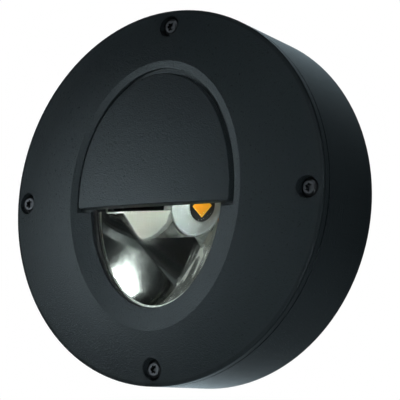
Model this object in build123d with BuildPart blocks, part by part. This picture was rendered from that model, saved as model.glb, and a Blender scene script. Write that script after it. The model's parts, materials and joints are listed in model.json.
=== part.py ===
from build123d import *
import os
from math import asin, cos, degrees, radians, sin, sqrt

os.makedirs("parts", exist_ok=True)

# Frame: the wall is the plane Y = 0, the light faces -Y and +Z is up.
# A height is a distance from the wall towards the front. All sizes are in millimetres.

# Drum and domed face
rim_radius = 80.0
drum_draft = 2.2
rim_height = 40.8
dome_rise = 10.3
rim_round = 0.9
back_round = 0.6
edge_band = 3.9
seam_gap = 0.6
drum_wall = 3.0
back_wall = 3.0
cover_wall = 3.5
land_width = 14.0

# Cover screws, one at each quarter of the clock
screw_count = 4
screw_inset = 7.2
screw_radius = 2.0
screw_length = 14.0
screw_head_radius = 4.0
screw_head_height = 2.4
screw_sink = 1.2
socket_radius = 1.9
socket_sides = 6
socket_depth = 1.3
boss_radius = 5.5
seal_thickness = 0.5

# Locating lip under the cover and the gasket in the seam
lip_thickness = 1.4
lip_depth = 2.0
gasket_recess = 0.7

# Elliptical dish, hood and mouth: each step inwards from the rim, along X and along Z
dish_margin_x = 35.9
dish_margin_z = 22.8
dish_depth = 7.6
dish_overrun = 8.0
ledge_x = 3.3
ledge_z = 3.2
hood_gap_x = 1.7
hood_gap_z = 2.5
hood_thickness = 6.6
hood_edge = -4.8
hood_edge_gap = 1.0
hood_corner = 1.5
hood_round = 0.5
mouth_step_x = 6.5
mouth_step_z = 6.2
mouth_cover = 3.3
mouth_round_share = 0.02

# Glass pane in the mouth, on the reflector's lip and just under the hood
glass_thickness = 1.2
glass_top_gap = 1.0
hood_glass_gap = 0.1

# Frame behind the mouth, set back from the dome's top
frame_setback = 12.1
frame_width = 11.7
frame_screw_inset = 3.65

# Reflector: a pressed half bowl with a crease on each side, folded back at its lip into a skirt
lip_inset_x = 2.5
lip_inset_z = 1.4
lip_sheet = 0.9
crease_head_inset = 0.5
crease_head_drop = 6.9
crease_head_z = -2.5
crease_foot_inset = 9.3
crease_foot_drop = 14.1
crease_share = 0.4
bowl_sheet = 1.6
bowl_top_drop = 0.8
bowl_top_back = -1.9
bowl_hole_gap = 0.6
flange_thickness = 1.5

# Light source on its pedestal, set back from the frame
chip_setback = 26.4
chip_side = 7.0
chip_turn = 45.0
chip_thickness = 0.5
base_radius = 6.8
base_thickness = 1.0
board_radius = 21.5
board_thickness = 1.6
pad_thickness = 0.5
collar_radius = 13.5
collar_rise = 4.3
collar_rim = 0.8
collar_throat_rise = 0.3
board_screw_circle = 18.0
board_screw_angle = 30.0

# Small screws
small_radius = 1.5
small_head_radius = 2.75
small_head_height = 2.0
small_length = 6.0
hood_screw_length = 9.0
hood_screw_inset_x = 13.0
hood_screw_inset_z = 29.5
reflector_screw_angles = (38.0, 142.0, 218.0, 322.0)

# Driver in the upper half of the drum
driver_width = 76.0
driver_board_gap = 4.5
driver_drum_gap = 6.6
driver_seat = 5.0
driver_height = 18.0
driver_lid_height = 2.0
driver_corner = 3.0
ear_length = 10.0
ear_width = 10.0
ear_thickness = 3.0
rail_width = 6.0
rail_inset = 10.0

# Terminal block at the lower right
pole_count = 3
pole_pitch = 8.0
terminal_inset = 18.3
terminal_angle = -42.0
terminal_length = 16.0
terminal_seat = 4.0
terminal_height = 14.0
terminal_end_wall = 1.0
terminal_round = 0.8
terminal_screw_radius = 1.25
terminal_screw_head_radius = 2.1
terminal_screw_sink = 2.2
terminal_screw_head = 1.2
terminal_row_spacing = 8.0
fixing_radius = 1.25
fixing_head_radius = 1.7
fixing_head_height = 1.2
fixing_length = 15.5

# Leads
lead_height = 10.0
lead_radius = 1.2
lead_insert = 5.0
mains_exit_inset = 12.0
mains_straight = 17.0
mains_bend_radius = 40.0
led_lead_radius = 0.8
led_lead_spacing = 8.0
led_lead_end = 15.0

# Earth point
earth_rise = 17.0
earth_boss_radius = 4.5
lug_radius = 4.0
lug_thickness = 0.8
lug_tongue_width = 3.0
lug_barrel_radius = 1.9
lug_barrel_start = 5.0
lug_barrel_length = 6.0
earth_screw_radius = 2.0
earth_screw_length = 6.0
earth_head_radius = 3.5
earth_head_height = 2.4

# Wall fixings and cable entry
wall_hole_spacing = 112.0
wall_hole_radius = 2.6
wall_pad_radius = 6.0
pad_height = 5.0
cable_inset = 18.3
cable_angle = 222.0
cable_radius = 4.0
grommet_neck_radius = 7.0
grommet_flange_radius = 9.0
grommet_flange = 1.4
grommet_round = 0.5
cable_pad_radius = 12.0

# Share of a thin edge that is rounded off
edge_share = 0.3

# Angles of the bowl's left half, from its left side down to its foot
left_side = 180.0
quarter_turn = 90.0

# Clearances
thread_clearance = 0.05
pass_clearance = 0.25
head_clearance = 0.7
fit_clearance = 0.4


def face(height):
    """Plane parallel to the wall, looking out of it."""
    return Plane.XZ.offset(height)


def at(radius, height):
    """Point of a turned profile."""
    return (radius, -height)


def around(radius, angle):
    """Point of the wall plane at an angle from +X."""
    return (radius * cos(radians(angle)), radius * sin(radians(angle)))


def drum_radius(height):
    """Outside radius of the drum with its draft."""
    return rim_radius - drum_draft * (1 - height / rim_height)


def dome_height(radius, inset=0.0):
    """Height of the domed face, or of a dome set in below it."""
    return dome_centre + sqrt((dome_radius - inset) ** 2 - radius**2)


# Sizes worked out from the ones above
apex_height = rim_height + dome_rise
dome_radius = (rim_radius**2 + dome_rise**2) / (2 * dome_rise)
dome_centre = apex_height - dome_radius
seam_height = rim_height - edge_band
housing_height = seam_height - seam_gap
inner_radius = drum_radius(back_wall) - drum_wall
screw_circle = rim_radius - screw_inset
land_radius = rim_radius - land_width
dish_x = rim_radius - dish_margin_x
dish_z = rim_radius - dish_margin_z
pocket_x = dish_x - ledge_x
pocket_z = dish_z - ledge_z
pocket_floor = apex_height - hood_thickness
pocket_edge = hood_edge - hood_edge_gap
hood_x = pocket_x - hood_gap_x
hood_z = pocket_z - hood_gap_z
mouth_x = pocket_x - mouth_step_x
mouth_z = pocket_z - mouth_step_z
mouth_top = hood_edge + mouth_cover
mouth_round = mouth_round_share * mouth_x
frame_back = apex_height - frame_setback
frame_x = mouth_x + frame_width
frame_z = mouth_z + frame_width
lip_height = pocket_floor - hood_glass_gap - glass_thickness
lip_x = mouth_x - lip_inset_x
lip_z = mouth_z - lip_inset_z
glass_x = lip_x + lip_sheet
glass_z = lip_z + lip_sheet
glass_top = mouth_top - glass_top_gap
bowl_top_front = hood_edge - bowl_top_drop
flange_back = frame_back - flange_thickness
chip_height = frame_back - chip_setback
base_height = chip_height - chip_thickness
board_height = base_height - base_thickness
board_back = board_height - board_thickness
pedestal_height = board_back - pad_thickness
collar_height = chip_height + collar_rise
collar_throat_height = chip_height + collar_throat_rise
collar_throat_radius = base_radius + pass_clearance
driver_top = driver_seat + driver_height
driver_bottom = board_radius + driver_board_gap
driver_length = sqrt(inner_radius**2 - (driver_width / 2) ** 2) - driver_drum_gap - driver_bottom
driver_centre = driver_bottom + driver_length / 2
rail_spacing = driver_width - 2 * rail_inset
terminal_x, terminal_z = around(inner_radius - terminal_inset, terminal_angle)
terminal_top = terminal_z + terminal_length / 2
terminal_front = terminal_seat + terminal_height
terminal_width = pole_count * pole_pitch + 2 * terminal_end_wall
pole_spots = [terminal_x + (i - (pole_count - 1) / 2) * pole_pitch for i in range(pole_count)]
cable_x, cable_z = around(inner_radius - cable_inset, cable_angle)
earth_x = pole_spots[-1]
earth_z = terminal_top + earth_rise
earth_boss_height = lead_height - lug_barrel_radius
hood_screw_x = hood_x - hood_screw_inset_x
hood_screw_z = hood_z - hood_screw_inset_z
mains_exit_x = driver_width / 2 - mains_exit_inset
mains_bend_top = driver_bottom - mains_straight
mains_bend_bottom = terminal_top + mains_straight
screw_seat = dome_height(screw_circle) - screw_sink - screw_head_height
screw_floor = screw_seat - seal_thickness
lip_radius = drum_radius(housing_height) - drum_wall - fit_clearance
reflector_screw_spots = [
    (
        (frame_x - frame_screw_inset) * cos(radians(angle)),
        (frame_z - frame_screw_inset) * sin(radians(angle)),
    )
    for angle in reflector_screw_angles
]
board_screw_spots = [
    (side * board_screw_circle * cos(radians(board_screw_angle)),
     board_screw_circle * sin(radians(board_screw_angle)))
    for side in (-1, 1)
]
hood_screw_spots = [(-hood_screw_x, hood_screw_z), (hood_screw_x, hood_screw_z)]
driver_screw_spots = [
    (side * (driver_width / 2 + ear_length / 2), driver_centre) for side in (-1, 1)
]
fixing_spots = [
    ((left + right) / 2, terminal_z) for left, right in zip(pole_spots, pole_spots[1:])
]
terminal_screw_spots = [
    (x, terminal_z + side * terminal_row_spacing / 2) for x in pole_spots for side in (-1, 1)
]

# Housing: drafted drum with a flat back, screw columns, pads and a pedestal for the light source
with BuildPart() as housing:
    with BuildSketch(Plane.XY):
        with BuildLine():
            Polyline(
                at(0, 0),
                at(drum_radius(0), 0),
                at(drum_radius(housing_height), housing_height),
                at(drum_radius(housing_height) - drum_wall, housing_height),
                at(drum_radius(back_wall) - drum_wall, back_wall),
                at(0, back_wall),
                close=True,
            )
        make_face()
    revolve(axis=Axis.Y)
    fillet(housing.edges().group_by(Axis.Y)[-1], back_round)
    with BuildSketch(face(back_wall)):
        with PolarLocations(screw_circle, screw_count):
            Circle(boss_radius)
        Circle(drum_radius(back_wall) - drum_wall / 2, mode=Mode.INTERSECT)
    extrude(amount=housing_height - back_wall)
    with BuildSketch(face(back_wall)):
        Circle(board_radius)
    extrude(amount=pedestal_height - back_wall)
    with BuildSketch(face(back_wall)):
        with GridLocations(wall_hole_spacing, 0, 2, 1):
            Circle(wall_pad_radius)
        with Locations((cable_x, cable_z)):
            Circle(cable_pad_radius)
    extrude(amount=pad_height - back_wall)
    with BuildSketch(face(back_wall)):
        with Locations((0, driver_centre)):
            with GridLocations(rail_spacing, 0, 2, 1):
                Rectangle(rail_width, driver_length)
        with Locations(*driver_screw_spots):
            Rectangle(ear_length, ear_width)
    extrude(amount=driver_seat - back_wall)
    with BuildSketch(face(back_wall)):
        with Locations((terminal_x, terminal_z)):
            Rectangle(terminal_width, terminal_length)
    extrude(amount=terminal_seat - back_wall)
    with BuildSketch(face(back_wall)):
        with Locations((earth_x, earth_z)):
            Circle(earth_boss_radius)
    extrude(amount=earth_boss_height - back_wall)
    with BuildSketch(face(screw_seat)):
        with PolarLocations(screw_circle, screw_count):
            Circle(screw_radius + thread_clearance)
    extrude(amount=-screw_length - pass_clearance, mode=Mode.SUBTRACT)
    with BuildSketch(face(pedestal_height)):
        with Locations(*board_screw_spots):
            Circle(small_radius + thread_clearance)
    extrude(amount=-(small_length - board_thickness - pad_thickness), mode=Mode.SUBTRACT)
    with BuildSketch(face(driver_seat)):
        with Locations(*driver_screw_spots):
            Circle(small_radius + thread_clearance)
    extrude(amount=-(small_length - ear_thickness), mode=Mode.SUBTRACT)
    with BuildSketch(face(terminal_seat)):
        with Locations(*fixing_spots):
            Circle(fixing_radius + thread_clearance)
    extrude(amount=-(fixing_length - terminal_height), mode=Mode.SUBTRACT)
    with BuildSketch(face(earth_boss_height)):
        with Locations((earth_x, earth_z)):
            Circle(earth_screw_radius + thread_clearance)
    extrude(amount=-(earth_screw_length - lug_thickness), mode=Mode.SUBTRACT)
    with BuildSketch(face(0)):
        with GridLocations(wall_hole_spacing, 0, 2, 1):
            Circle(wall_hole_radius)
        with Locations((cable_x, cable_z)):
            Circle(grommet_neck_radius)
    extrude(amount=pad_height, mode=Mode.SUBTRACT)
    with BuildSketch(face(0)):
        with Locations((cable_x, cable_z)):
            Circle(grommet_flange_radius + fit_clearance)
    extrude(amount=grommet_flange, mode=Mode.SUBTRACT)
housing.part.label = "housing"
export_step(housing.part, "parts/housing.step")

# Gasket in the seam between the drum and the cover
with BuildPart() as cover_gasket:
    with BuildSketch(face(housing_height)):
        Circle(drum_radius(housing_height) - gasket_recess)
        Circle(drum_radius(housing_height) - drum_wall, mode=Mode.SUBTRACT)
    extrude(amount=seam_gap)
cover_gasket.part.label = "cover_gasket"
export_step(cover_gasket.part, "parts/cover_gasket.step")

# Block of all that lies under the domed face
with BuildPart() as dome_block:
    with BuildSketch(Plane.XY) as dome_profile:
        with BuildLine():
            Polyline(
                at(0, apex_height),
                at(0, seam_height),
                at(drum_radius(seam_height), seam_height),
                at(rim_radius, rim_height),
            )
            ThreePointArc(
                at(rim_radius, rim_height),
                at(rim_radius / 2, dome_height(rim_radius / 2)),
                at(0, apex_height),
            )
        make_face()
        fillet(dome_profile.vertices().sort_by(Axis.X)[-1], rim_round)
    revolve(axis=Axis.Y)

# Hollow behind the dome, round the frame behind the mouth
with BuildPart() as cover_hollow:
    with BuildSketch(Plane.XY):
        with BuildLine():
            Polyline(
                at(0, dome_height(0, cover_wall)),
                at(0, seam_height),
                at(land_radius, seam_height),
                at(land_radius, dome_height(land_radius, cover_wall)),
            )
            ThreePointArc(
                at(land_radius, dome_height(land_radius, cover_wall)),
                at(land_radius / 2, dome_height(land_radius / 2, cover_wall)),
                at(0, dome_height(0, cover_wall)),
            )
        make_face()
    revolve(axis=Axis.Y)
    with BuildSketch(face(frame_back)):
        Ellipse(frame_x, frame_z)
    extrude(amount=apex_height - frame_back, mode=Mode.SUBTRACT)

# Dish: a doubly curved bowl that meets the dome along an ellipse
dish_floor = apex_height - dish_depth
dish_rise_x = dome_height(dish_x) - dish_floor
dish_rise_z = dome_height(dish_z) - dish_floor
dish_bend_x = (dish_x**2 + dish_rise_x**2) / (2 * dish_rise_x)
dish_bend_z = (dish_z**2 + dish_rise_z**2) / (2 * dish_rise_z)
dish_end_x = dish_x + dish_overrun
dish_end_height = dish_floor + dish_bend_x - sqrt(dish_bend_x**2 - dish_end_x**2)
dish_turn = degrees(asin((dish_z + dish_overrun) / dish_bend_z))
with BuildPart() as dish:
    with BuildSketch(Plane.XY):
        with BuildLine():
            ThreePointArc(
                at(-dish_end_x, dish_end_height),
                at(0, dish_floor),
                at(dish_end_x, dish_end_height),
            )
            Polyline(
                at(dish_end_x, dish_end_height),
                at(dish_end_x, apex_height + dish_overrun),
                at(-dish_end_x, apex_height + dish_overrun),
                at(-dish_end_x, dish_end_height),
            )
        make_face()
    revolve(
        axis=Axis((0, -(dish_floor + dish_bend_z), 0), (1, 0, 0)),
        revolution_arc=dish_turn,
    )
    mirror(about=Plane.XY)

# Front cover: domed casting with the dish, the hood's pocket and the mouth
with BuildPart() as front_cover:
    add(dome_block.part)
    add(cover_hollow.part, mode=Mode.SUBTRACT)
    add(dish.part, mode=Mode.SUBTRACT)
    with BuildSketch(face(pocket_floor)):
        Ellipse(pocket_x, pocket_z)
        with Locations((0, pocket_edge + pocket_z)):
            Rectangle(2 * dish_x, 2 * pocket_z, mode=Mode.INTERSECT)
    extrude(amount=apex_height - pocket_floor, mode=Mode.SUBTRACT)
    with BuildSketch(face(frame_back)):
        Ellipse(mouth_x, mouth_z)
        with Locations((0, mouth_top - mouth_z)):
            Rectangle(2 * dish_x, 2 * mouth_z, mode=Mode.INTERSECT)
    extrude(amount=apex_height - frame_back, mode=Mode.SUBTRACT)
    fillet(front_cover.edges(Select.LAST).group_by(Axis.Y)[0], mouth_round)
    with BuildSketch(face(seam_height)):
        Circle(lip_radius)
        Circle(lip_radius - lip_thickness, mode=Mode.SUBTRACT)
        with PolarLocations(screw_circle, screw_count):
            Circle(boss_radius + fit_clearance, mode=Mode.SUBTRACT)
    extrude(amount=-lip_depth)
    with BuildSketch(face(screw_floor)):
        with PolarLocations(screw_circle, screw_count):
            Circle(screw_head_radius + head_clearance)
    extrude(amount=apex_height - screw_floor, mode=Mode.SUBTRACT)
    with BuildSketch(face(seam_height)):
        with PolarLocations(screw_circle, screw_count):
            Circle(screw_radius + pass_clearance)
    extrude(amount=screw_floor - seam_height, mode=Mode.SUBTRACT)
    with BuildSketch(face(frame_back)):
        with Locations(*reflector_screw_spots):
            Circle(small_radius + thread_clearance)
    extrude(amount=small_length - flange_thickness, mode=Mode.SUBTRACT)
    with Locations(face(frame_back)):
        with Locations(*hood_screw_spots):
            Cone(
                small_head_radius + pass_clearance,
                small_radius,
                small_head_radius + pass_clearance - small_radius,
                align=(Align.CENTER, Align.CENTER, Align.MIN),
                mode=Mode.SUBTRACT,
            )
    with BuildSketch(face(frame_back)):
        with Locations(*hood_screw_spots):
            Circle(small_radius + pass_clearance)
    extrude(amount=apex_height - frame_back, mode=Mode.SUBTRACT)
front_cover.part.label = "front_cover"
export_step(front_cover.part, "parts/front_cover.step")

# Washers under the heads of the cover screws
with BuildPart() as cover_screw_seals:
    with BuildSketch(face(screw_floor)):
        with PolarLocations(screw_circle, screw_count):
            Circle(screw_head_radius)
            Circle(screw_radius + pass_clearance, mode=Mode.SUBTRACT)
    extrude(amount=seal_thickness)
cover_screw_seals.part.label = "cover_screw_seals"
export_step(cover_screw_seals.part, "parts/cover_screw_seals.step")

# Cover screws with a six-sided socket for the driver bit
with BuildPart() as cover_screws:
    with BuildSketch(face(screw_seat)):
        with PolarLocations(screw_circle, screw_count):
            Circle(screw_head_radius)
    extrude(amount=screw_head_height)
    fillet(cover_screws.edges().group_by(Axis.Y)[0], edge_share * screw_head_height)
    with BuildSketch(face(screw_seat)):
        with PolarLocations(screw_circle, screw_count):
            Circle(screw_radius)
    extrude(amount=-screw_length)
    with BuildSketch(face(screw_seat + screw_head_height)):
        with PolarLocations(screw_circle, screw_count):
            RegularPolygon(socket_radius, socket_sides)
    extrude(amount=-socket_depth, mode=Mode.SUBTRACT)
cover_screws.part.label = "cover_screws"
export_step(cover_screws.part, "parts/cover_screws.step")

# Hood: half ellipse that carries the dome over the upper half of the mouth
with BuildPart() as hood:
    with BuildSketch(face(pocket_floor)) as hood_outline:
        Ellipse(hood_x, hood_z)
        with Locations((0, hood_edge + hood_z)):
            Rectangle(2 * dish_x, 2 * hood_z, mode=Mode.INTERSECT)
        fillet(hood_outline.vertices().group_by(Axis.Y)[0], hood_corner)
    extrude(amount=apex_height - pocket_floor)
    add(dome_block.part, mode=Mode.INTERSECT)
    fillet(hood.faces().filter_by(GeomType.SPHERE).edges(), hood_round)
    with BuildSketch(face(pocket_floor)):
        with Locations(*hood_screw_spots):
            Circle(small_radius + thread_clearance)
    extrude(amount=hood_screw_length - (pocket_floor - frame_back), mode=Mode.SUBTRACT)
hood.part.label = "hood"
export_step(hood.part, "parts/hood.step")

# Countersunk screws that hold the hood from behind
with BuildPart() as hood_screws:
    with Locations(face(frame_back)):
        with Locations(*hood_screw_spots):
            Cone(
                small_head_radius,
                small_radius / 2,
                small_head_radius - small_radius / 2,
                align=(Align.CENTER, Align.CENTER, Align.MIN),
            )
    with BuildSketch(face(frame_back)):
        with Locations(*hood_screw_spots):
            Circle(small_radius)
    extrude(amount=hood_screw_length)
hood_screws.part.label = "hood_screws"
export_step(hood_screws.part, "parts/hood_screws.step")

# Glass pane on the reflector's lip, and the rubber ring between it and the mouth's wall
with BuildPart() as lens_glass:
    with BuildSketch(face(lip_height)) as glass_outline:
        Ellipse(glass_x, glass_z)
        with Locations((0, glass_top - glass_z)):
            Rectangle(2 * glass_x, 2 * glass_z, mode=Mode.INTERSECT)
    extrude(amount=glass_thickness)
lens_glass.part.label = "lens_glass"
export_step(lens_glass.part, "parts/lens_glass.step")

with BuildPart() as lens_gasket:
    with BuildSketch(face(lip_height)):
        Ellipse(mouth_x - thread_clearance, mouth_z - thread_clearance)
        with Locations((0, mouth_top - thread_clearance - mouth_z)):
            Rectangle(2 * mouth_x, 2 * mouth_z, mode=Mode.INTERSECT)
        add(glass_outline.sketch, mode=Mode.SUBTRACT)
    extrude(amount=glass_thickness)
lens_gasket.part.label = "lens_gasket"
export_step(lens_gasket.part, "parts/lens_gasket.step")

# Reflector: two creased cheeks that meet below the light source, inside a skirt on a flange
lip_round = edge_share * lip_sheet
bowl_edge = lip_height - lip_round
rim_x = lip_x + lip_sheet / 2
rim_z = lip_z + lip_sheet / 2
hole_radius = collar_radius + bowl_hole_gap
crease_head = Vector(-(lip_x - crease_head_inset), -(lip_height - crease_head_drop), crease_head_z)
crease_foot = Vector(0, -(lip_height - crease_foot_drop), -(lip_z - crease_foot_inset))
crease_turn = crease_head + (crease_foot - crease_head) * crease_share
hole_foot = Vector(0, -collar_height, -hole_radius)
bowl_cut = Plane(
    origin=(0, -lip_height, bowl_top_front),
    x_dir=(1, 0, 0),
    z_dir=(0, bowl_top_front - bowl_top_back, lip_height - collar_height),
)
rim_turn = quarter_turn * crease_share
with BuildLine(face(bowl_edge)) as upper_rim:
    EllipticalCenterArc((0, 0), rim_x, rim_z, left_side, arc_size=rim_turn)
with BuildLine(face(bowl_edge)) as lower_rim:
    EllipticalCenterArc(
        (0, 0), rim_x, rim_z, left_side + rim_turn, arc_size=quarter_turn - rim_turn)
with BuildLine(face(collar_height)) as hole_rim:
    CenterArc((0, 0), hole_radius, left_side, quarter_turn)
upper_crease = Edge.make_line(crease_head, crease_turn)
lower_crease = Edge.make_line(crease_turn, crease_foot)
cheeks = [
    Face.make_surface_from_curves(upper_rim.edge(), upper_crease),
    Face.make_surface_from_curves(lower_rim.edge(), lower_crease),
    Face.make_surface_from_curves(upper_crease, hole_rim.edge()),
    Face(Wire.make_polygon([crease_turn, crease_foot, hole_foot])),
]
sheet_edges = [
    upper_rim.edge(),
    lower_rim.edge(),
    hole_rim.edge(),
    Edge.make_line(upper_rim.edge() @ 0, crease_head),
    Edge.make_line(crease_head, hole_rim.edge() @ 0),
]
sheet = Vector(0, bowl_sheet, 0)
left_skin = cheeks + [cheek.translate(sheet) for cheek in cheeks]
left_skin += [Face.extrude(edge, sheet) for edge in sheet_edges]
bowl_skin = left_skin + [skin.mirror(Plane.YZ) for skin in left_skin]
with BuildPart() as reflector:
    add(Solid(Shell(bowl_skin)))
    with BuildSketch(face(flange_back)):
        Ellipse(lip_x + lip_sheet, lip_z + lip_sheet)
        Ellipse(lip_x, lip_z, mode=Mode.SUBTRACT)
    extrude(amount=lip_height - flange_back)
    fillet(reflector.edges().group_by(Axis.Y)[0], lip_round)
    split(bisect_by=bowl_cut, keep=Keep.BOTTOM)
    with BuildSketch(face(flange_back)):
        Ellipse(frame_x - fit_clearance, frame_z - fit_clearance)
        Ellipse(lip_x, lip_z, mode=Mode.SUBTRACT)
    extrude(amount=flange_thickness)
    with BuildSketch(face(flange_back)):
        with Locations(*reflector_screw_spots):
            Circle(small_radius + pass_clearance)
    extrude(amount=flange_thickness, mode=Mode.SUBTRACT)
reflector.part.label = "reflector"
export_step(reflector.part, "parts/reflector.step")


def pan_screws(seat, spots, outward, head_radius, head_height, shank_radius, length):
    """Group of pan head screws whose heads stand on a seat, facing outward (1) or the wall (-1)."""
    with BuildPart() as screws:
        with BuildSketch(face(seat)):
            with Locations(*spots):
                Circle(head_radius)
        extrude(amount=outward * head_height)
        with BuildSketch(face(seat)):
            with Locations(*spots):
                Circle(shank_radius)
        extrude(amount=-outward * length)
    return screws


reflector_screws = pan_screws(
    flange_back, reflector_screw_spots, -1,
    small_head_radius, small_head_height, small_radius, small_length,
)
reflector_screws.part.label = "reflector_screws"
export_step(reflector_screws.part, "parts/reflector_screws.step")

# Light source: pad, board, dark base disc, square emitter and the funnel-shaped collar
with BuildPart() as thermal_pad:
    with BuildSketch(face(pedestal_height)):
        Circle(board_radius)
        with Locations(*board_screw_spots):
            Circle(small_radius + pass_clearance, mode=Mode.SUBTRACT)
    extrude(amount=pad_thickness)
thermal_pad.part.label = "thermal_pad"
export_step(thermal_pad.part, "parts/thermal_pad.step")

with BuildPart() as led_board:
    with BuildSketch(face(board_back)):
        Circle(board_radius)
        with Locations(*board_screw_spots):
            Circle(small_radius + pass_clearance, mode=Mode.SUBTRACT)
    extrude(amount=board_thickness)
led_board.part.label = "led_board"
export_step(led_board.part, "parts/led_board.step")

with BuildPart() as led_base:
    with BuildSketch(face(board_height)):
        Circle(base_radius)
    extrude(amount=base_thickness)
led_base.part.label = "led_base"
export_step(led_base.part, "parts/led_base.step")

with BuildPart() as led_emitter:
    with BuildSketch(face(base_height)):
        Rectangle(chip_side, chip_side, rotation=chip_turn)
    extrude(amount=chip_thickness)
led_emitter.part.label = "led_emitter"
export_step(led_emitter.part, "parts/led_emitter.step")

with BuildPart() as led_holder:
    with BuildSketch(Plane.XY):
        with BuildLine():
            Polyline(
                at(collar_throat_radius, board_height),
                at(collar_radius, board_height),
                at(collar_radius, collar_height),
                at(collar_radius - collar_rim, collar_height),
                at(collar_throat_radius, collar_throat_height),
                close=True,
            )
        make_face()
    revolve(axis=Axis.Y)
    fillet(led_holder.edges().group_by(Axis.Y)[0], edge_share * collar_rim)
led_holder.part.label = "led_holder"
export_step(led_holder.part, "parts/led_holder.step")

led_board_screws = pan_screws(
    board_height, board_screw_spots, 1,
    small_head_radius, small_head_height, small_radius, small_length,
)
led_board_screws.part.label = "led_board_screws"
export_step(led_board_screws.part, "parts/led_board_screws.step")

# Driver: moulded case with two ears and a flat lid
with BuildPart() as driver_case:
    with BuildSketch(face(driver_seat)):
        with Locations((0, driver_centre)):
            RectangleRounded(driver_width, driver_length, driver_corner)
    extrude(amount=driver_height - driver_lid_height)
    with BuildSketch(face(driver_seat)):
        with Locations(*driver_screw_spots):
            Rectangle(ear_length, ear_width)
            Circle(small_radius + pass_clearance, mode=Mode.SUBTRACT)
    extrude(amount=ear_thickness)
driver_case.part.label = "driver_case"
export_step(driver_case.part, "parts/driver_case.step")

with BuildPart() as driver_lid:
    with BuildSketch(face(driver_top - driver_lid_height)):
        with Locations((0, driver_centre)):
            RectangleRounded(driver_width, driver_length, driver_corner)
    extrude(amount=driver_lid_height)
    chamfer(driver_lid.edges().group_by(Axis.Y)[0], edge_share * driver_lid_height)
driver_lid.part.label = "driver_lid"
export_step(driver_lid.part, "parts/driver_lid.step")

driver_screws = pan_screws(
    driver_seat + ear_thickness, driver_screw_spots, 1,
    small_head_radius, small_head_height, small_radius, small_length,
)
driver_screws.part.label = "driver_screws"
export_step(driver_screws.part, "parts/driver_screws.step")

# Terminal block with a wire bore and two clamp screws for each pole
with BuildPart() as terminal_block:
    with BuildSketch(face(terminal_seat)):
        with Locations((terminal_x, terminal_z)):
            RectangleRounded(terminal_width, terminal_length, terminal_round)
    extrude(amount=terminal_height)
    with BuildSketch(Plane.XY.offset(terminal_top)):
        with Locations(*[(x, -lead_height) for x in pole_spots]):
            Circle(lead_radius + pass_clearance)
    extrude(amount=-terminal_length, mode=Mode.SUBTRACT)
    with BuildSketch(face(lead_height)):
        with Locations(*terminal_screw_spots):
            Circle(terminal_screw_radius + thread_clearance)
    extrude(amount=terminal_height, mode=Mode.SUBTRACT)
    with BuildSketch(face(terminal_front - terminal_screw_sink)):
        with Locations(*terminal_screw_spots):
            Circle(terminal_screw_head_radius + pass_clearance)
    extrude(amount=terminal_screw_sink, mode=Mode.SUBTRACT)
    with BuildSketch(face(terminal_seat)):
        with Locations(*fixing_spots):
            Circle(fixing_radius + pass_clearance)
    extrude(amount=terminal_height, mode=Mode.SUBTRACT)
terminal_block.part.label = "terminal_block"
export_step(terminal_block.part, "parts/terminal_block.step")

terminal_screws = pan_screws(
    terminal_front - terminal_screw_sink, terminal_screw_spots, 1,
    terminal_screw_head_radius, terminal_screw_head, terminal_screw_radius,
    terminal_front - terminal_screw_sink - lead_height - lead_radius,
)
terminal_screws.part.label = "terminal_screws"
export_step(terminal_screws.part, "parts/terminal_screws.step")

terminal_fixing_screws = pan_screws(
    terminal_front, fixing_spots, 1,
    fixing_head_radius, fixing_head_height, fixing_radius, fixing_length,
)
terminal_fixing_screws.part.label = "terminal_fixing_screws"
export_step(terminal_fixing_screws.part, "parts/terminal_fixing_screws.step")

# Cable grommet, flush with the wall
with BuildPart() as cable_grommet:
    with BuildSketch(face(0)):
        with Locations((cable_x, cable_z)):
            Circle(grommet_flange_radius)
    extrude(amount=grommet_flange)
    with BuildSketch(face(grommet_flange)):
        with Locations((cable_x, cable_z)):
            Circle(grommet_neck_radius)
    extrude(amount=pad_height - grommet_flange)
    with BuildSketch(face(pad_height)):
        with Locations((cable_x, cable_z)):
            Circle(grommet_flange_radius)
    extrude(amount=grommet_flange)
    fillet(cable_grommet.edges().group_by(Axis.Y)[0], grommet_round)
    with BuildSketch(face(0)):
        with Locations((cable_x, cable_z)):
            Circle(cable_radius)
    extrude(amount=pad_height + grommet_flange, mode=Mode.SUBTRACT)
cable_grommet.part.label = "cable_grommet"
export_step(cable_grommet.part, "parts/cable_grommet.step")

# Earth lug: ring, tongue and crimp barrel, under its screw
lug_front = earth_boss_height + lug_thickness
with BuildPart() as earth_lug:
    with BuildSketch(face(earth_boss_height)):
        with Locations((earth_x, earth_z)):
            Circle(lug_radius)
        with Locations((earth_x, earth_z - lug_barrel_start / 2)):
            Rectangle(lug_tongue_width, lug_barrel_start)
    extrude(amount=lug_thickness)
    with BuildSketch(Plane.XY.offset(earth_z - lug_barrel_start)):
        with Locations((earth_x, -lead_height)):
            Circle(lug_barrel_radius)
    extrude(amount=-lug_barrel_length)
    with BuildSketch(Plane.XY.offset(earth_z - lug_barrel_start)):
        with Locations((earth_x, -lead_height)):
            Circle(lead_radius + thread_clearance)
    extrude(amount=-lug_barrel_length, mode=Mode.SUBTRACT)
    with BuildSketch(face(earth_boss_height)):
        with Locations((earth_x, earth_z)):
            Circle(earth_screw_radius + pass_clearance)
    extrude(amount=lug_thickness, mode=Mode.SUBTRACT)
earth_lug.part.label = "earth_lug"
export_step(earth_lug.part, "parts/earth_lug.step")

earth_screw = pan_screws(
    lug_front, [(earth_x, earth_z)], 1,
    earth_head_radius, earth_head_height, earth_screw_radius, earth_screw_length,
)
earth_screw.part.label = "earth_screw"
export_step(earth_screw.part, "parts/earth_screw.step")

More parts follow.
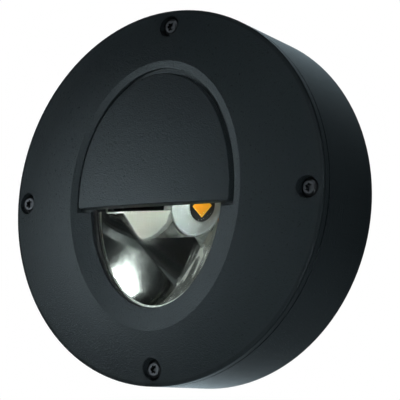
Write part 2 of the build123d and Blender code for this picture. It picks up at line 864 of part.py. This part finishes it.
# Leads
earth_lead_start = earth_z - lug_barrel_start
with BuildPart() as earth_lead:
    with BuildSketch(Plane.XY.offset(earth_lead_start)):
        with Locations((earth_x, -lead_height)):
            Circle(lead_radius)
    extrude(amount=-(earth_lead_start - terminal_top + lead_insert))
earth_lead.part.label = "earth_lead"
export_step(earth_lead.part, "parts/earth_lead.step")

with BuildPart() as mains_leads:
    for pole in range(pole_count - 1):
        exit_x = mains_exit_x + pole * pole_pitch
        with BuildLine():
            FilletPolyline(
                (exit_x, -lead_height, driver_bottom),
                (exit_x, -lead_height, mains_bend_top),
                (pole_spots[pole], -lead_height, mains_bend_bottom),
                (pole_spots[pole], -lead_height, terminal_top - lead_insert),
                radius=mains_bend_radius,
            )
        with BuildSketch(Plane.XY.offset(driver_bottom)):
            with Locations((exit_x, -lead_height)):
                Circle(lead_radius)
        sweep()
mains_leads.part.label = "mains_leads"
export_step(mains_leads.part, "parts/mains_leads.step")

with BuildPart() as led_leads:
    with BuildSketch(Plane.XY.offset(driver_bottom)):
        with Locations((0, -(board_height + led_lead_radius))):
            with GridLocations(led_lead_spacing, 0, 2, 1):
                Circle(led_lead_radius)
    extrude(amount=-(driver_bottom - led_lead_end))
led_leads.part.label = "led_leads"
export_step(led_leads.part, "parts/led_leads.step")
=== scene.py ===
import json
import math

import bmesh
import bpy
from mathutils import Matrix, Quaternion, Vector


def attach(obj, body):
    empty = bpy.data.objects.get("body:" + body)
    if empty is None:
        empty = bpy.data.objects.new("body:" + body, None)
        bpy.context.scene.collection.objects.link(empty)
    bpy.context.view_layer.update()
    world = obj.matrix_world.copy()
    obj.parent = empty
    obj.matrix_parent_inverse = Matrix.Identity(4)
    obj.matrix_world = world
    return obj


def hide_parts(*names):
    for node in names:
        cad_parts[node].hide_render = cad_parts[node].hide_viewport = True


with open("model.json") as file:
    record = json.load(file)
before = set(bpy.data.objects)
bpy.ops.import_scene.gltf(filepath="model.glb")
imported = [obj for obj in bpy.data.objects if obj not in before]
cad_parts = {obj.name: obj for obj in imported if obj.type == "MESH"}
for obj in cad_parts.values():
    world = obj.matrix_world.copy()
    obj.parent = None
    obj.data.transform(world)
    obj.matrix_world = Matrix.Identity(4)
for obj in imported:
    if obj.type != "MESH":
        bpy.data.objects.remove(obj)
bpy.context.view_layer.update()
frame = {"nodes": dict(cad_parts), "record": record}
nodes = frame["nodes"]
scene = bpy.context.scene

MM = 0.001

# The photograph's view: angles in degrees, lens in millimetres, lengths in metres
CAMERA_AZIMUTH = 35.35
CAMERA_ELEVATION = -8.21
CAMERA_ROLL = 2.62
CAMERA_DISTANCE = 0.913
CAMERA_LENS = 188.6
CAMERA_NEAR = 0.01
AIM_RIGHT = -0.00812
AIM_UP = 0.0044

# Surroundings: the camera sees them white, and glossy rays see a white backdrop round one level
# direction, given by its X and Y. To other rays the world is nearly dark.
BACKDROP_WAY = (-0.6, 0.8)
BACKDROP_RISE = (0.6, 1.0)
AMBIENT = 0.01
FLOOR_LEVEL = -1.0
FLOOR_REACH = 3.0
FLOOR_MOTTLE = 0.2
FLOOR_DARK = (0.86, 0.86, 0.86)
FLOOR_LIGHT = (0.9, 0.9, 0.9)
FLOOR_ROUGHNESS = 0.7
FLOOR_SEEN = (0.9, 0.9, 0.9)
FLOOR_RISE = (0.88, 1.0)
BLACK = (0.0, 0.0, 0.0)
WHITE = (1.0, 1.0, 1.0)
COOL = (0.90, 0.97, 1.0)
BLUISH = (0.70, 0.90, 1.0)

# Soft boxes: place and size in metres, power in watts, roll and spread of the beam in degrees
SOFTBOXES = (
    {"name": "front_softbox", "place": (-0.71, -0.825, 0.10), "size": (0.3, 0.3), "power": 3.0},
    {"name": "left_softbox", "place": (-0.80, -0.75, -0.05), "size": (0.3, 0.3), "power": 2.5},
    {"name": "low_softbox", "place": (-0.55, 0.45, -0.65), "size": (0.5, 0.5), "power": 6.0,
     "tint": BLUISH},
    {"name": "overhead_softbox", "place": (0.09, -0.648, 0.758), "size": (0.50, 0.14), "power": 2.6,
     "roll": -52},
    {"name": "right_softbox", "place": (0.6, -0.75, -0.3), "size": (0.16, 0.16), "power": 0.10,
     "aim": (0.0, -0.04, -0.02), "spread": 8},
)

# Powder coat: its colours, its sheen, the sizes of its grain, and a painted shade line, dark and
# matt, round the face
COAT_DARK = (0.0065, 0.0085, 0.0095)
COAT_LIGHT = (0.0105, 0.0135, 0.015)
COAT_ROUGHNESS = 0.19
COAT_SHEEN = 0.17
COAT_TINT = (0.80, 0.95, 1.0, 1.0)
COAT_GRAIN = 0.6 * MM
COAT_PEEL = 2.0 * MM
COAT_CLOUD = 30 * MM
COAT_RELIEF = 0.19 * MM
GRAIN_SHADE = 0.6
CLOUD_SHADE = 0.4
PEEL_SHARE = 0.1
GRAIN_ROUGHNESS = 0.25
EDGE_ROUGHNESS = 0.5
EDGE_RADIUS = 78.2 * MM
EDGE_HEIGHT = 39.7 * MM
EDGE_FADE = 0.3 * MM

# Mouldings: broad clouds are a multiple of the fine skin's size
CLOUD_RATIO = 12
SKIN_SHADE = 0.5
SKIN_ROUGHNESS = 0.15

# Turned metal
TOOL_MARKS = 0.25 * MM
TOOL_CLOUD = 3 * MM
TOOL_RELIEF = 0.02 * MM
MARKS_SHADE = 0.4
TOOL_CLOUD_SHADE = 0.6
MARKS_ROUGHNESS = 0.2

# Reflector's mirror finish
MIRROR_DARK = (0.88, 0.89, 0.83)
MIRROR_LIGHT = (0.93, 0.93, 0.88)
MIRROR_ROUGHNESS = 0.11
MIRROR_RIPPLE = 6 * MM
RIPPLE_RELIEF = 0.02 * MM
MIRROR_HAZE = 0.8 * MM
HAZE_ROUGHNESS = 0.04
# Colour of the painted reflections: the pale patch and the grey streaks
PAINTED_REFLECTION_COLOUR = (0.76, 0.73, 0.63)
SATIN_ROUGHNESS = 0.3

# Satin bands along the reflector's lip and along its cut upper edge, which slopes
LIP_HEIGHT = 43.2 * MM
LIP_TOP = -5.6 * MM
LIP_BAND = 0.4 * MM
LIP_DROP = (20 * MM, 42 * MM)
CUT_SLOPE = 0.1407
CUT_BAND = 0.9 * MM
CUT_SIDE = (-31 * MM, -30 * MM)
CUT_FADE = 0.7
LIP_FADE = 0.5
BAND_SHARE = 0.8

# Painted reflection of the collar: a pale patch on the reflector beside the light source, inwards
# of the crease
CREASE_SLOPE = 0.78
CREASE_PLACE = -31.6 * MM
CREASE_FADE = 2.5 * MM
PAINTED_REFLECTION_LEVEL = (-20.0 * MM, -13.0 * MM)
PAINTED_REFLECTION_SIDE = (9 * MM, 19 * MM)

# Painted reflections: grey streaks on the reflector's right cheek, drawn out along Z
STREAK_SIZE = 4 * MM
STREAK_STRETCH = (1.0, 1.0, 0.12)
STREAK_RISE = (0.4, 0.8)
STREAK_LEAST = 0.12
STREAK_GAIN = 0.5
CHEEK_SIDE = (1 * MM, 5 * MM)
CHEEK_DROP = (16 * MM, 24 * MM)

# Phosphor: a square on its corner, yellower towards its sides
PHOSPHOR_MIDDLE = (0.96, 0.30, 0.008)
PHOSPHOR_SIDE = (0.98, 0.52, 0.06)
PHOSPHOR_SIDES = (3.6 * MM, 4.9 * MM)
PHOSPHOR_SKIN = 0.3 * MM
PHOSPHOR_RELIEF = 0.01 * MM
PHOSPHOR_SKIN_SHADE = 0.3
PHOSPHOR_SIDE_SHADE = 0.7
PHOSPHOR_ROUGHNESS = 0.35
PHOSPHOR_SKIN_ROUGHNESS = 0.1
# Painted glow: a faint emission that brightens the unlit chip
GLOW_DARK = (0.95, 0.33, 0.005)
GLOW_LIGHT = (1.0, 0.42, 0.015)
PAINTED_GLOW = 0.22

# Pane
PANE_TINT = (0.97, 0.985, 0.975, 1.0)
PANE_SHINE = (1.0, 1.0, 1.0, 1.0)
PANE_DUST = 1.5 * MM
PANE_ROUGHNESS = 0.02
DUST_ROUGHNESS = 0.02
PANE_INDEX = 1.03

# Hood: points closer than this are joined
JOIN_DISTANCE = 0.001 * MM

# Cover screws, in millimetres: each loop from the socket's floor to the tip has a radius, the depth
# of its lobes and a height over the wall
SCREW_COUNT = 4
SCREW_CIRCLE = 72.8
SCREW_STEPS = 96
SCREW_LOBES = 6
SCREW_CREASE = math.radians(30)
SCREW_LOOPS = (
    (1.45, 0.25, 40.1),
    (1.45, 0.25, 41.25),
    (1.6, 0.25, 41.39),
    (2.6, 0.0, 41.39),
    (2.9, 0.0, 41.15),
    (3.5, 0.0, 40.95),
    (3.85, 0.0, 40.5),
    (4.0, 0.0, 39.9),
    (4.0, 0.0, 38.995),
    (2.0, 0.0, 38.995),
    (2.0, 0.0, 25.6),
    (1.5, 0.0, 24.995),
)


class Wire:
    """An output socket that takes part in sums."""

    def __init__(self, finish, socket):
        self.finish = finish
        self.socket = socket

    def __add__(self, other):
        return self.finish.maths("ADD", self, other)

    def __radd__(self, other):
        return self.finish.maths("ADD", other, self)

    def __sub__(self, other):
        return self.finish.maths("SUBTRACT", self, other)

    def __rsub__(self, other):
        return self.finish.maths("SUBTRACT", other, self)

    def __mul__(self, other):
        return self.finish.maths("MULTIPLY", self, other)

    def __rmul__(self, other):
        return self.finish.maths("MULTIPLY", other, self)


class Finish:
    """A material, or a world, made of nodes."""

    def __init__(self, name, owner=None):
        self.owner = owner or bpy.data.materials.new(name)
        self.owner.use_nodes = True
        self.tree = self.owner.node_tree
        self.tree.nodes.clear()

    def node(self, kind, settings=None, inputs=None, output=0):
        """Adds a node, sets it up, links or fills its sockets and gives one of its outputs."""
        made = self.tree.nodes.new(kind)
        for key, value in (settings or {}).items():
            setattr(made, key, value)
        for key, value in (inputs or {}).items():
            if isinstance(value, Wire):
                self.tree.links.new(value.socket, made.inputs[key])
            else:
                made.inputs[key].default_value = value
        return Wire(self, made.outputs[output]) if made.outputs else None

    def maths(self, operation, first, second):
        return self.node("ShaderNodeMath", {"operation": operation}, {0: first, 1: second})

    def ramp(self, value, low, high):
        """Smooth rise from 0 at the low value to 1 at the high one."""
        return self.node(
            "ShaderNodeMapRange",
            {"interpolation_type": "SMOOTHSTEP"},
            {"Value": value, "From Min": low, "From Max": high},
        )

    def place(self):
        """Object coordinates, in metres."""
        return self.node("ShaderNodeTexCoord", output="Object")

    def axis(self, vector, name):
        """One of a vector's three parts."""
        return self.node("ShaderNodeSeparateXYZ", {}, {0: vector}, output=name)

    def scaled(self, vector, scale):
        """A vector whose three parts are multiplied by three numbers."""
        return self.node(
            "ShaderNodeVectorMath", {"operation": "MULTIPLY"}, {0: vector, 1: scale}
        )

    def noise(self, size, detail, where=None):
        """Noise whose lumps are about the given size across, in metres."""
        return self.node(
            "ShaderNodeTexNoise",
            {},
            {"Vector": where or self.place(), "Scale": 1.0 / size, "Detail": detail},
        )

    @staticmethod
    def colour(value):
        """What a colour socket takes: a wire as it is, or three numbers with full alpha."""
        return value if isinstance(value, Wire) else (*value, 1.0)

    def blend(self, amount, dark, light):
        """Colour between two others."""
        return self.node(
            "ShaderNodeMix",
            {"data_type": "RGBA"},
            {"Factor": amount, 6: self.colour(dark), 7: self.colour(light)},
            output=2,
        )

    def background(self, way, rise):
        """1 to the camera, through glass and, round the backdrop's direction, to glossy rays."""
        camera_ray = self.node("ShaderNodeLightPath", output="Is Camera Ray")
        clear_ray = self.node("ShaderNodeLightPath", output="Is Transmission Ray")
        glossy_ray = self.node("ShaderNodeLightPath", output="Is Glossy Ray")
        across, along = BACKDROP_WAY
        facing = along * self.axis(way, "Y") + across * self.axis(way, "X")
        backdrop = self.ramp(facing, *rise)
        return self.maths("MINIMUM", camera_ray + clear_ray + glossy_ray * backdrop, 1.0)

    def bump(self, height, distance):
        return self.node(
            "ShaderNodeBump", {}, {"Height": height, "Distance": distance, "Strength": 1.0}
        )

    def surface(self, **inputs):
        """Principled shader with sockets named by words joined with underscores."""
        sockets = {key.replace("_", " "): value for key, value in inputs.items()}
        self.end(self.node("ShaderNodeBsdfPrincipled", {}, sockets))
        return self.owner

    def end(self, shader):
        self.node("ShaderNodeOutputMaterial", {}, {"Surface": shader})


def powder_coat():
    """Fine-textured anthracite powder coat with a satin sheen, and painted shade round the face: a
    dark, matt line on its edge.
    """
    f = Finish("anthracite_powder_coat")
    grain = f.noise(COAT_GRAIN, 3.0)
    orange_peel = f.noise(COAT_PEEL, 2.0)
    cloud = f.noise(COAT_CLOUD, 2.0)
    spot = f.place()
    flat = f.scaled(spot, (1.0, 0.0, 1.0))
    radius = f.node("ShaderNodeVectorMath", {"operation": "LENGTH"}, {0: flat}, output="Value")
    height = 0.0 - f.axis(spot, "Y")
    # Painted shade: a dark, matt line along the edge round the face
    outer = f.ramp(radius, EDGE_RADIUS, EDGE_RADIUS + EDGE_FADE)
    painted_edge_shade = outer * f.ramp(height, EDGE_HEIGHT, EDGE_HEIGHT + EDGE_FADE)
    shade = GRAIN_SHADE * grain + CLOUD_SHADE * cloud
    return f.surface(
        Base_Color=f.blend(shade - shade * painted_edge_shade, COAT_DARK, COAT_LIGHT),
        Roughness=COAT_ROUGHNESS + GRAIN_ROUGHNESS * grain + EDGE_ROUGHNESS * painted_edge_shade,
        Specular_IOR_Level=COAT_SHEEN,
        Specular_Tint=COAT_TINT,
        Normal=f.bump(grain + PEEL_SHARE * orange_peel, COAT_RELIEF),
    )


def plain_moulding(name, dark, light, size, roughness, relief):
    """Moulded plastic or rubber with a fine, uneven skin."""
    f = Finish(name)
    skin = f.noise(size, 3.0)
    cloud = f.noise(CLOUD_RATIO * size, 2.0)
    return f.surface(
        Base_Color=f.blend(SKIN_SHADE * skin + SKIN_SHADE * cloud, dark, light),
        Roughness=roughness + SKIN_ROUGHNESS * skin,
        Normal=f.bump(skin, relief),
    )


def turned_metal(name, dark, light, roughness):
    """Metal with fine tool marks."""
    f = Finish(name)
    marks = f.noise(TOOL_MARKS, 4.0)
    cloud = f.noise(TOOL_CLOUD, 2.0)
    return f.surface(
        Base_Color=f.blend(MARKS_SHADE * marks + TOOL_CLOUD_SHADE * cloud, dark, light),
        Metallic=1.0,
        Roughness=roughness + MARKS_ROUGHNESS * marks,
        Normal=f.bump(marks, TOOL_RELIEF),
    )


def mirror_metal():
    """Bright pressed reflector with satin bands at its edges, and a pale patch and grey streaks
    painted in as reflections.
    """
    f = Finish("mirror_reflector")
    ripple = f.noise(MIRROR_RIPPLE, 1.0)
    haze = f.noise(MIRROR_HAZE, 2.0)
    spot = f.place()
    across, depth, level = (f.axis(spot, name) for name in "XYZ")
    height = 0.0 - depth
    drop = 0.0 - level

    cut = LIP_TOP + CUT_SLOPE * (LIP_HEIGHT + depth)
    edge = f.ramp(level - cut, -CUT_BAND, -CUT_FADE * CUT_BAND) * f.ramp(across, *CUT_SIDE)
    lip = f.ramp(height, LIP_HEIGHT - LIP_BAND, LIP_HEIGHT - LIP_FADE * LIP_BAND)
    bands = f.maths("MAXIMUM", edge, lip * f.ramp(drop, *LIP_DROP))

    # Painted reflection of the collar: a pale, matt patch inwards of the crease
    inner = f.ramp(across + CREASE_SLOPE * level, CREASE_PLACE, CREASE_PLACE + CREASE_FADE)
    painted_collar_reflection = inner * f.ramp(level, *PAINTED_REFLECTION_LEVEL) * f.ramp(0.0 - across, *PAINTED_REFLECTION_SIDE)

    # Painted reflections: grey streaks on the right cheek
    lines = f.noise(STREAK_SIZE, 0.0, f.scaled(spot, STREAK_STRETCH))
    streaks = STREAK_LEAST + STREAK_GAIN * f.ramp(lines, *STREAK_RISE)
    cheek = f.ramp(across, *CHEEK_SIDE) * f.ramp(drop, *CHEEK_DROP)
    # Mask of the painted reflections: the collar's patch and the streaks
    satin = f.maths("MAXIMUM", painted_collar_reflection, streaks * cheek)

    bright = f.blend(haze, MIRROR_DARK, MIRROR_LIGHT)
    matt = f.maths("MAXIMUM", bands, satin)
    return f.surface(
        Base_Color=f.blend(satin, bright, PAINTED_REFLECTION_COLOUR),
        Metallic=1.0 - f.maths("MAXIMUM", BAND_SHARE * bands, satin),
        Roughness=MIRROR_ROUGHNESS + HAZE_ROUGHNESS * haze + SATIN_ROUGHNESS * matt,
        Normal=f.bump(ripple, RIPPLE_RELIEF),
    )


def phosphor_square():
    """Orange phosphor in silicone, yellower along its sides, with a faint painted glow."""
    f = Finish("phosphor")
    skin = f.noise(PHOSPHOR_SKIN, 3.0)
    spot = f.place()
    across, level = (f.maths("ABSOLUTE", f.axis(spot, name), 0.0) for name in "XZ")
    side = f.ramp(across + level, *PHOSPHOR_SIDES)
    shade = PHOSPHOR_SKIN_SHADE * skin + PHOSPHOR_SIDE_SHADE * side
    return f.surface(
        Base_Color=f.blend(shade, PHOSPHOR_MIDDLE, PHOSPHOR_SIDE),
        Emission_Color=f.blend(skin, GLOW_DARK, GLOW_LIGHT),
        Emission_Strength=PAINTED_GLOW,
        Roughness=PHOSPHOR_ROUGHNESS + PHOSPHOR_SKIN_ROUGHNESS * skin,
        Normal=f.bump(skin, PHOSPHOR_RELIEF),
    )


def clear_pane():
    """Clear glass with faint dust."""
    f = Finish("clear_pane")
    dust = f.noise(PANE_DUST, 3.0)
    clear = f.node("ShaderNodeBsdfTransparent", {}, {"Color": PANE_TINT})
    gloss = f.node(
        "ShaderNodeBsdfGlossy",
        {},
        {"Color": PANE_SHINE, "Roughness": PANE_ROUGHNESS + DUST_ROUGHNESS * dust},
    )
    edge_on = f.node("ShaderNodeFresnel", {}, {"IOR": PANE_INDEX})
    f.end(f.node("ShaderNodeMixShader", {}, {0: edge_on, 1: clear, 2: gloss}))
    return f.owner


# By material slot. A moulding has two colours, the size of its skin, a roughness and a relief,
# and a turned metal has two colours and a roughness.
FINISHES = {
    "powder_coat": powder_coat(),
    "black_steel": turned_metal(
        "blackened_steel", (0.010, 0.011, 0.012), (0.034, 0.036, 0.039), 0.3),
    "zinc_steel": turned_metal(
        "zinc_plated_steel", (0.5, 0.5, 0.48), (0.7, 0.7, 0.66), 0.25),
    "seal_rubber": plain_moulding(
        "seal_rubber", (0.002, 0.002, 0.0022), (0.005, 0.005, 0.0055), 0.6 * MM, 0.7, 0.03 * MM),
    "clear_glass": clear_pane(),
    "bright_aluminium": mirror_metal(),
    "collar_plastic": plain_moulding(
        "frosted_collar", (0.58, 0.61, 0.58), (0.66, 0.69, 0.66), 0.5 * MM, 0.35, 0.01 * MM),
    "board_mask": plain_moulding(
        "white_solder_mask", (0.70, 0.71, 0.69), (0.8, 0.81, 0.79), 0.6 * MM, 0.3, 0.01 * MM),
    "base_black": plain_moulding(
        "black_base", (0.012, 0.012, 0.014), (0.03, 0.03, 0.033), 0.5 * MM, 0.25, 0.01 * MM),
    "phosphor": phosphor_square(),
    "pad_silicone": plain_moulding(
        "silicone_pad", (0.30, 0.32, 0.35), (0.38, 0.40, 0.43), 0.5 * MM, 0.6, 0.02 * MM),
    "driver_plastic": plain_moulding(
        "driver_plastic", (0.62, 0.63, 0.62), (0.72, 0.73, 0.72), 0.7 * MM, 0.45, 0.03 * MM),
    "terminal_plastic": plain_moulding(
        "terminal_plastic", (0.66, 0.63, 0.54), (0.75, 0.72, 0.63), 0.7 * MM, 0.4, 0.02 * MM),
    "brass": turned_metal(
        "brass", (0.62, 0.44, 0.18), (0.76, 0.57, 0.27), 0.25),
    "mains_insulation": plain_moulding(
        "brown_insulation", (0.13, 0.055, 0.025), (0.18, 0.08, 0.035), 0.6 * MM, 0.3, 0.01 * MM),
    "led_insulation": plain_moulding(
        "red_insulation", (0.42, 0.03, 0.025), (0.55, 0.05, 0.035), 0.6 * MM, 0.3, 0.01 * MM),
    "earth_insulation": plain_moulding(
        "green_insulation", (0.12, 0.30, 0.04), (0.18, 0.42, 0.06), 0.6 * MM, 0.3, 0.01 * MM),
}

for row in frame["record"]["subparts"]:
    node = nodes[row["node"]]
    node.data.materials.clear()
    node.data.materials.append(FINISHES[row["material_slot"]])

# Even shading over the hood's top, where the mesh has a doubled point
joined = nodes["hood"].modifiers.new("joined_apex", "WELD")
joined.merge_threshold = JOIN_DISTANCE
even = nodes["hood"].modifiers.new("even_normals", "WEIGHTED_NORMAL")
even.keep_sharp = True


def six_lobe_screws():
    """Pan head screws with a six-lobe socket, in place of the plain CAD ones."""
    shape = bmesh.new()
    bmesh.ops.create_circle(shape, cap_ends=True, segments=SCREW_STEPS, radius=1.0)
    rim = list(shape.edges)
    tip = shape.verts[:]
    for step, (radius, lobe, height) in enumerate(SCREW_LOOPS):
        if step:
            grown = bmesh.ops.extrude_edge_only(shape, edges=rim)["geom"]
            tip = [part for part in grown if isinstance(part, bmesh.types.BMVert)]
            fresh = set(tip)
            rim = [
                part for part in grown
                if isinstance(part, bmesh.types.BMEdge) and fresh.issuperset(part.verts)
            ]
        for corner in tip:
            angle = math.atan2(corner.co.y, corner.co.x)
            reach = (radius + lobe * math.cos(SCREW_LOBES * angle)) * MM
            corner.co = (reach * math.cos(angle), reach * math.sin(angle), height * MM)
    bmesh.ops.contextual_create(shape, geom=rim)
    bmesh.ops.recalc_face_normals(shape, faces=shape.faces)
    bmesh.ops.rotate(shape, verts=shape.verts, matrix=Matrix.Rotation(math.pi / 2, 3, "X"))
    bmesh.ops.translate(shape, verts=shape.verts, vec=(0, 0, SCREW_CIRCLE * MM))
    first = shape.verts[:] + shape.edges[:] + shape.faces[:]
    for turn in range(1, SCREW_COUNT):
        copy = bmesh.ops.duplicate(shape, geom=first)["geom"]
        corners = [part for part in copy if isinstance(part, bmesh.types.BMVert)]
        spin = Matrix.Rotation(2 * math.pi * turn / SCREW_COUNT, 3, "Y")
        bmesh.ops.rotate(shape, verts=corners, matrix=spin)
    mesh = bpy.data.meshes.new("six_lobe_screws")
    shape.to_mesh(mesh)
    shape.free()
    mesh.shade_smooth()
    mesh.set_sharp_from_angle(angle=SCREW_CREASE)
    mesh.materials.append(FINISHES["black_steel"])
    piece = bpy.data.objects.new("six_lobe_screws", mesh)
    scene.collection.objects.link(piece)
    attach(piece, "root")
    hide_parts("cover_screws")


def pale_floor():
    """Wide floor below the light, pale to the camera."""
    shape = bmesh.new()
    bmesh.ops.create_grid(shape, x_segments=1, y_segments=1, size=FLOOR_REACH)
    bmesh.ops.translate(shape, verts=shape.verts, vec=(0, 0, FLOOR_LEVEL))
    mesh = bpy.data.meshes.new("floor")
    shape.to_mesh(mesh)
    shape.free()
    floor = bpy.data.objects.new("floor", mesh)
    scene.collection.objects.link(floor)
    f = Finish("pale_floor")
    mottle = f.noise(FLOOR_MOTTLE, 2.0)
    outward = f.node("ShaderNodeVectorMath", {"operation": "NORMALIZE"}, {0: f.place()})
    mesh.materials.append(f.surface(
        Base_Color=f.blend(mottle, FLOOR_DARK, FLOOR_LIGHT),
        Emission_Color=f.blend(f.background(outward, FLOOR_RISE), BLACK, FLOOR_SEEN),
        Emission_Strength=1.0,
        Roughness=FLOOR_ROUGHNESS,
    ))


def white_surroundings():
    """World that is white to the camera and through glass, and dark to most other rays."""
    scene.world = bpy.data.worlds.new("white_surroundings")
    w = Finish("white_surroundings", scene.world)
    glossy_ray = w.node("ShaderNodeLightPath", output="Is Glossy Ray")
    way = w.node("ShaderNodeTexCoord", output="Generated")
    seen = w.background(way, BACKDROP_RISE)
    light = w.node("ShaderNodeBackground", {}, {
        "Color": w.blend(glossy_ray, WHITE, BLUISH),
        "Strength": AMBIENT + (1.0 - AMBIENT) * seen,
    })
    w.node("ShaderNodeOutputWorld", {}, {"Surface": light})


def softbox(name, place, size, power, tint=COOL, aim=(0, 0, 0), roll=0, spread=180):
    """Rectangular lamp aimed at a place, turned about its axis, with a beam of some spread."""
    lamp = bpy.data.lights.new(name, "AREA")
    lamp.shape = "RECTANGLE"
    lamp.size, lamp.size_y = size
    lamp.energy = power
    lamp.color = tint
    lamp.spread = math.radians(spread)
    holder = bpy.data.objects.new(name, lamp)
    holder.location = place
    holder.rotation_mode = "QUATERNION"
    facing = (Vector(aim) - Vector(place)).to_track_quat("-Z", "Y")
    holder.rotation_quaternion = facing @ Quaternion((0, 0, 1), math.radians(roll))
    scene.collection.objects.link(holder)


def photo_camera():
    """Camera at the photograph's place, rolled a little and aimed beside the middle."""
    azimuth = math.radians(CAMERA_AZIMUTH)
    elevation = math.radians(CAMERA_ELEVATION)
    back = Vector((
        math.sin(azimuth) * math.cos(elevation),
        -math.cos(azimuth) * math.cos(elevation),
        math.sin(elevation),
    ))
    right = Vector((math.cos(azimuth), math.sin(azimuth), 0))
    up = back.cross(right)
    roll = math.radians(CAMERA_ROLL)
    tilted_right = math.cos(roll) * right + math.sin(roll) * up
    tilted_up = math.cos(roll) * up - math.sin(roll) * right
    place = back * CAMERA_DISTANCE
    aim = AIM_RIGHT * tilted_right + AIM_UP * tilted_up
    look = (place - aim).normalized()
    side = tilted_up.cross(look).normalized()
    top = look.cross(side)
    lens = bpy.data.cameras.new("photo_camera")
    lens.lens = CAMERA_LENS
    lens.clip_start = CAMERA_NEAR
    holder = bpy.data.objects.new("photo_camera", lens)
    turn = Matrix((side, top, look)).transposed().to_4x4()
    holder.matrix_world = Matrix.Translation(place) @ turn
    scene.collection.objects.link(holder)
    scene.camera = holder


six_lobe_screws()
pale_floor()
white_surroundings()
for lamp_row in SOFTBOXES:
    softbox(**lamp_row)
photo_camera()
scene.view_settings.view_transform = "Standard"
